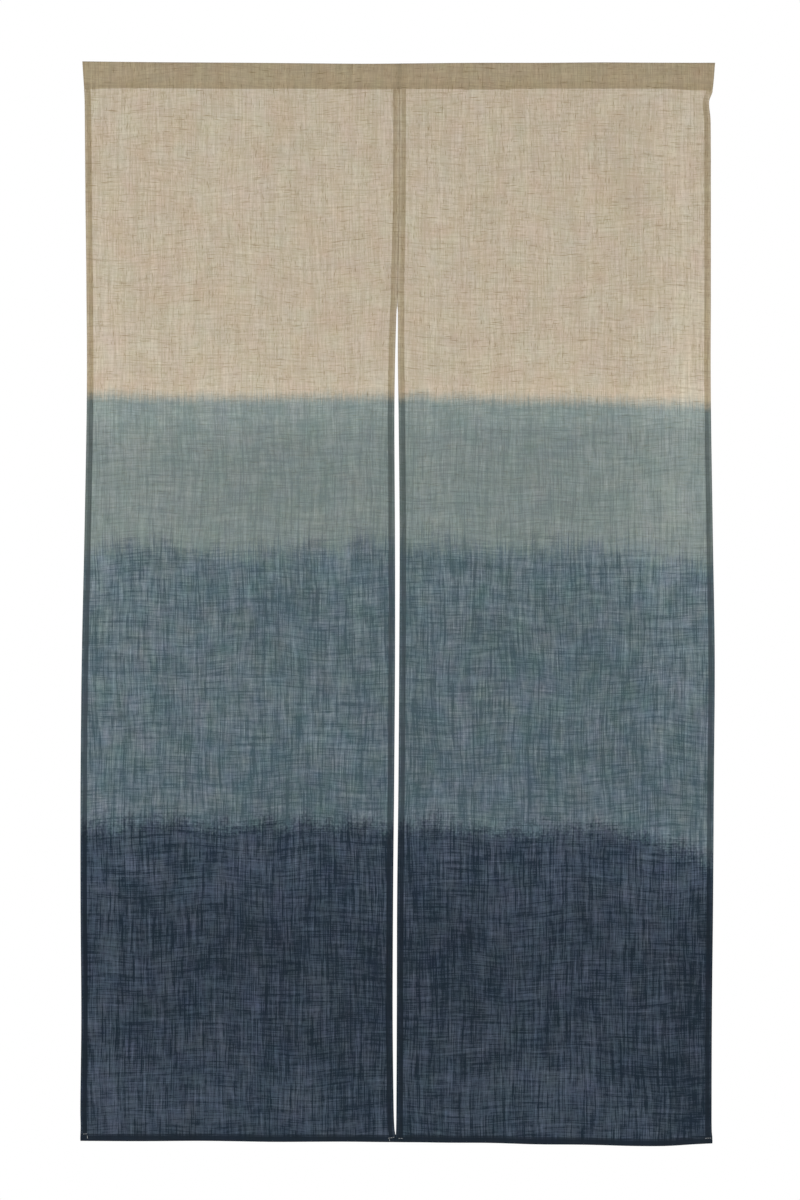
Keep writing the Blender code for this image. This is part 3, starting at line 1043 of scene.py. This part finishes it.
def heading(half, sizes):
    """One half of the rod sleeve, full in its middle, with its lower edge sewn flat."""
    cloth, layer = cloth_steps(sizes)
    line = pocket_line(layer)
    ring = both_faces(line, cloth)
    depth, drop = ring[None, :, 0], ring[None, :, 1]
    ends = np.array([0.0, 0.012, 0.02, 0.022])
    stations = np.concatenate([ends, np.linspace(0.03, 0.97, 84), 1 - ends[::-1]])
    left, right = width_edges(half, ring[:, 1])
    x = left[None, :] + (right - left)[None, :] * stations[:, None]
    fullness = np.sin(math.pi * np.clip(drop / SLEEVE_STITCH, 0, 1))
    waver = SLEEVE_RIPPLE * ripple(x, 61.0, 0.7) + SLEEVE_PUCKER * ripple(x, 23.0, 1.9)
    y = FRONT_LAYER + depth + waver * fullness
    points = np.stack([x, y, height(x, np.broadcast_to(drop, x.shape))], axis=-1) * MM
    side = np.minimum(stations, 1 - stations)[:, None] * NOMINAL
    # Painted shade: more layers let less light through, most in the sleeve's lower part and over
    # the side hems.
    layers = np.where(drop > 25.6, 1.05, 0.92) + np.where(side < SIDE_HEM, 0.14, 0.0)
    from_seam = (1 - stations if half == "left" else stations)[:, None] * NOMINAL
    # Painted shadow: a dark line where the halves meet and along the sleeve's top fold.
    layers = np.where((from_seam < 0.4) | (drop < 0.5), 1.4, layers)
    return sheet_mesh("heading", points[:, ::-1], layers=layers[:, ::-1])


# Sewing


def stitches(half, starts, ends, depth, facing, diameter):
    """Threads laid on the cloth from each (x, drop) to the next hole, with both ends sunk in it.

    facing is -1 for the front of the cloth and 1 for its back.
    """
    starts, ends = np.array(starts, float), np.array(ends, float)
    a = place(half, starts[:, 0], starts[:, 1], depth)
    b = place(half, ends[:, 0], ends[:, 1], depth)
    middle, along = (a + b) / 2, (b - a) / 2
    out = np.array([0.0, float(facing), 0.0])
    side = np.cross(along / np.linalg.norm(along, axis=1)[:, None], out)
    shares = np.array([-1.0, -0.82, -0.35, 0.35, 0.82, 1.0])
    girths = np.array([0.05, 0.75, 1.0, 1.0, 0.75, 0.05]) * diameter / 2
    lifts = np.array([-0.9, 0.0, 0.4, 0.4, 0.0, -0.9]) * diameter / 2
    angles = np.arange(5) * 2 * math.pi / 5
    points = (
        middle[:, None, None]
        + along[:, None, None] * shares[None, :, None, None]
        + side[:, None, None] * (girths[:, None] * np.cos(angles))[None, :, :, None]
        + out * (lifts[:, None] + girths[:, None] * np.sin(angles))[None, :, :, None]
    )
    grid = np.arange(30).reshape(6, 5)
    after = np.roll(grid, -1, axis=1)
    faces = np.stack([grid[:-1], after[:-1], after[1:], grid[1:]], axis=-1).reshape(-1, 4)
    faces = faces[None] + 30 * np.arange(len(starts))[:, None, None]
    return points.reshape(-1, 3), faces.reshape(-1, 4)


def sewn(name, rows, finish, diameter):
    """One piece of several rows of stitches."""
    points, faces, start = [], [], 0
    for half, starts, ends, depth, facing in rows:
        more_points, more_faces = stitches(half, starts, ends, depth, facing, diameter)
        points.append(more_points)
        faces.append(more_faces + start)
        start += len(more_points)
    mesh = bpy.data.meshes.new(name)
    mesh.from_pydata(np.concatenate(points).tolist(), [], np.concatenate(faces).tolist())
    return show(name, mesh, finish)


def upright_row(half, side, inward, first, last, sizes):
    """Ends of the stitches of a row that keeps its distance from one edge of a width."""
    pitch = (sizes.stitch + sizes.stitch_gap) / MM
    starts = np.arange(first, last - pitch, pitch)
    ends = starts + sizes.stitch / MM
    edge = 0 if side == "left" else 1
    step = inward if side == "left" else -inward
    return (
        np.stack([width_edges(half, starts)[edge] + step, starts], axis=-1),
        np.stack([width_edges(half, ends)[edge] + step, ends], axis=-1),
    )


def level_row(half, drop, margin, sizes):
    """Ends of the stitches of a row across a width."""
    pitch = (sizes.stitch + sizes.stitch_gap) / MM
    left, right = (float(edge) for edge in width_edges(half, drop))
    starts = np.arange(left + margin, right - margin - pitch, pitch)
    level = np.full(len(starts), drop)
    return (
        np.stack([starts, level], axis=-1),
        np.stack([starts + sizes.stitch / MM, level], axis=-1),
    )


def hem_faces(sizes):
    """How far a hem's front and back lie before and behind the middle of its front layer."""
    cloth, layer = cloth_steps(sizes)
    return cloth / 2, 2 * layer + cloth / 2


def thread_finish(scene):
    """Cotton thread dyed with the cloth."""
    name = "mercerised cotton thread, dyed with the cloth"
    return kept(slub_linen, name, scene.noren_sizes, scene.noren_dyes, tone_shift=-0.3, layers=1.0)


class NOREN_OT_hem_stitches(bpy.types.Operator):
    """Sews the side hems and the lower hems, which shows on both faces"""

    bl_idname = "noren.hem_stitches"
    bl_label = "Hem Stitches"

    def execute(self, context):
        sizes = context.scene.noren_sizes
        finish = thread_finish(context.scene)
        surface, behind = hem_faces(sizes)
        for facing, depth, face in ((-1, -surface, "front"), (1, behind, "back")):
            rows = []
            for half in ("left", "right"):
                for side in ("left", "right"):
                    row = upright_row(half, side, SIDE_HEM - 1.6, 37.0, DROP - LOWER_HEM, sizes)
                    rows.append((half, *row, depth, facing))
                row = level_row(half, DROP - LOWER_HEM + 1.5, 1.0, sizes)
                rows.append((half, *row, depth, facing))
            sewn(f"hem_stitches_{face}", rows, finish, sizes.thread)
        return {"FINISHED"}


class NOREN_OT_heading_stitches(bpy.types.Operator):
    """Sews the rod sleeve shut along its lower edge, and whips the centre seam together"""

    bl_idname = "noren.heading_stitches"
    bl_label = "Sleeve and Seam Stitches"

    def execute(self, context):
        sizes = context.scene.noren_sizes
        finish = thread_finish(context.scene)
        surface, behind = hem_faces(sizes)
        rows = []
        for half in ("left", "right"):
            row = level_row(half, SLEEVE_STITCH + 0.8, 0.5, sizes)
            rows.append((half, *row, -surface, -1))
            rows.append((half, *row, behind, 1))
        sewn("heading_stitches", rows, finish, sizes.thread)
        drops = np.arange(39.0, SLIT_START, 3.6)
        seam = width_edges("left", drops)[1]
        starts = np.stack([seam - 1.3, drops], axis=-1)
        ends = np.stack([seam + 1.3, drops + 1.1], axis=-1)
        sewn("seam_stitches", [("left", starts, ends, behind, 1)], finish, sizes.thread)
        return {"FINISHED"}


class NOREN_OT_corner_tacks(bpy.types.Operator):
    """Tacks the four lower corners with pale thread, of which one end shows at the left edge"""

    bl_idname = "noren.corner_tacks"
    bl_label = "Corner Tacks"

    def execute(self, context):
        scene = context.scene
        finish = kept(spun_polyester, "pale spun polyester thread", scene.noren_dyes.tack)
        surface = scene.noren_sizes.cloth / MM / 2
        rows = []
        for tack in TACKS:
            ends = [(tack.x, tack.drop)], [(tack.x_end, tack.drop_end)]
            rows.append((tack.half, *ends, -surface, -1))
        sewn("corner_tacks", rows, finish, scene.noren_sizes.thread * 2.0)
        return {"FINISHED"}


class NOREN_OT_slubs(bpy.types.Operator):
    """Lays the thickest slubs on both faces of each width, tapered and pressed into the weave"""

    bl_idname = "noren.slubs"
    bl_label = "Slub Yarns"

    def execute(self, context):
        scene = context.scene
        name = "thick slubs of the dip-dyed cloth"
        finish = kept(slub_linen, name, scene.noren_sizes, scene.noren_dyes, tone_shift=-0.3)
        dice = random.Random(7)
        for half in ("left", "right"):
            points, faces = [], []
            for facing in (-1, 1):
                for _ in range(scene.noren_sizes.slubs):
                    strand = slub(half, facing, dice, scene.noren_sizes)
                    faces += slub_faces(len(points), len(strand) // 3)
                    points += strand
            mesh = bpy.data.meshes.new(f"{half}_slub_yarns")
            mesh.from_pydata(points, [], faces)
            give(mesh, layers=np.zeros(len(points)))
            show(f"{half}_slub_yarns", mesh, finish)
        return {"FINISHED"}


def slub(half, facing, dice, sizes):
    """A tapered strand along one yarn: its left foot, crest and right foot at each station."""
    upright = dice.random() < 0.66
    length = dice.uniform(14, 58) if upright else dice.uniform(10, 34)
    girth = dice.uniform(0.9, 1.5)
    drop = dice.uniform(44 + length, DROP - LOWER_HEM - 6 - length / 2)
    left, right = (float(edge) for edge in width_edges(half, drop))
    margin = SIDE_HEM + 4 + (0 if upright else length / 2)
    x = dice.uniform(left + margin, right - margin)
    shares = np.linspace(-1, 1, 9)
    taper = np.sqrt(np.clip(1 - shares**2, 0.004, 1))
    run = shares * length / 2
    sway = 0.25 * np.sin(shares * 2.4 + dice.uniform(0, 6))
    xs, drops = (x + sway, drop + run) if upright else (x + run, drop + sway)
    surface = facing * sizes.cloth / MM / 2
    points = []
    for foot, lift in ((-1, -0.06), (0, 0.16), (1, -0.06)):
        aside = foot * girth / 2 * taper
        across = (xs + aside, drops) if upright else (xs, drops + aside)
        points.append(place(half, *across, surface + facing * lift * taper))
    return np.stack(points, axis=1).reshape(-1, 3).tolist()


def slub_faces(start, stations):
    """Faces of a strand whose points begin at start."""
    faces = []
    for n in range(stations - 1):
        a = start + 3 * n
        faces += [(a, a + 1, a + 4, a + 3), (a + 1, a + 2, a + 5, a + 4)]
    return faces


class NOREN_OT_stage(bpy.types.Operator):
    """Sets the pale floor, the soft studio light and the camera"""

    bl_idname = "noren.stage"
    bl_label = "Stage"

    def execute(self, context):
        scene = context.scene
        scene.view_settings.view_transform = "Standard"
        set_floor(scene)
        set_lights(scene)
        set_camera(scene)
        return {"FINISHED"}


def set_floor(scene):
    """A round floor, well below the curtain."""
    rim = [
        (3.4 * math.cos(a), 3.4 * math.sin(a), -2.0)
        for a in np.linspace(0, 2 * math.pi, 96, endpoint=False)
    ]
    mesh = bpy.data.meshes.new("floor")
    mesh.from_pydata(rim, [], [range(len(rim))])
    floor = bpy.data.objects.new("floor", mesh)
    scene.collection.objects.link(floor)
    mesh.materials.append(kept(matt_floor, "matt pale floor paint", scene.noren_dyes.floor))


def set_lights(scene):
    """White surroundings, a strip box at each side, a key box and one behind."""
    world = bpy.data.worlds.new("white studio")
    scene.world = world
    world.use_nodes = True
    tree = world.node_tree
    tree.nodes.clear()
    # The surroundings look white and light the cloth a little less.
    seen = add(tree, "ShaderNodeLightPath", out="Is Camera Ray")
    strength = add(tree, "ShaderNodeMapRange", {"Value": seen, "To Min": 0.74, "To Max": 1.0})
    sky = add(tree, "ShaderNodeBackground", {"Color": (1.0, 1.0, 1.0, 1.0), "Strength": strength})
    end_tree(tree, sky, "ShaderNodeOutputWorld")
    for lamp in LAMPS:
        data = bpy.data.lights.new(lamp.name, "AREA")
        data.shape = "RECTANGLE"
        data.size, data.size_y, data.energy = lamp.width, lamp.height, lamp.watts
        light = bpy.data.objects.new(lamp.name, data)
        light.location = lamp.place
        towards = Vector(AIM) - light.location
        light.rotation_euler = towards.to_track_quat("-Z", "Y").to_euler()
        scene.collection.objects.link(light)


def set_camera(scene):
    """A long lens square to the curtain, framed as 800 by 1200 pixels of 1.3876 mm each."""
    pixel, frame_height = 1.3876, 1200
    data = bpy.data.cameras.new("camera")
    data.lens = 200.0
    distance = data.lens * frame_height * pixel / data.sensor_width * MM
    camera = bpy.data.objects.new("camera", data)
    camera.location = (0.0006, -distance, -0.7444)
    camera.rotation_euler = (math.pi / 2, 0.0, 0.0)
    data.clip_end = 100.0
    scene.collection.objects.link(camera)
    scene.camera = camera


OPERATORS = (
    NOREN_OT_widths,
    NOREN_OT_headings,
    NOREN_OT_hem_stitches,
    NOREN_OT_heading_stitches,
    NOREN_OT_corner_tacks,
    NOREN_OT_slubs,
    NOREN_OT_stage,
)


class NOREN_PT_sidebar(bpy.types.Panel):
    """Lists the sizes, the colours and the operators"""

    bl_label = "Noren Curtain"
    bl_space_type = "VIEW_3D"
    bl_region_type = "UI"
    bl_category = "Noren"

    def draw(self, context):
        for group in (context.scene.noren_sizes, context.scene.noren_dyes):
            for name in group.bl_rna.properties.keys():
                if name not in ("name", "rna_type"):
                    self.layout.prop(group, name)
        for operator in OPERATORS:
            self.layout.operator(operator.bl_idname)


CLASSES = (NorenSizes, NorenDyes, *OPERATORS, NOREN_PT_sidebar)


def register():
    """Registers the classes and hangs both groups of properties on the scene."""
    for item in CLASSES:
        bpy.utils.register_class(item)
    bpy.types.Scene.noren_sizes = PointerProperty(type=NorenSizes)
    bpy.types.Scene.noren_dyes = PointerProperty(type=NorenDyes)


def unregister():
    """Takes back all that register did."""
    del bpy.types.Scene.noren_dyes
    del bpy.types.Scene.noren_sizes
    for item in reversed(CLASSES):
        bpy.utils.unregister_class(item)


def main():
    register()
    for operator in OPERATORS:
        group, name = operator.bl_idname.split(".")
        getattr(getattr(bpy.ops, group), name)()


if __name__ == "__main__":
    main()
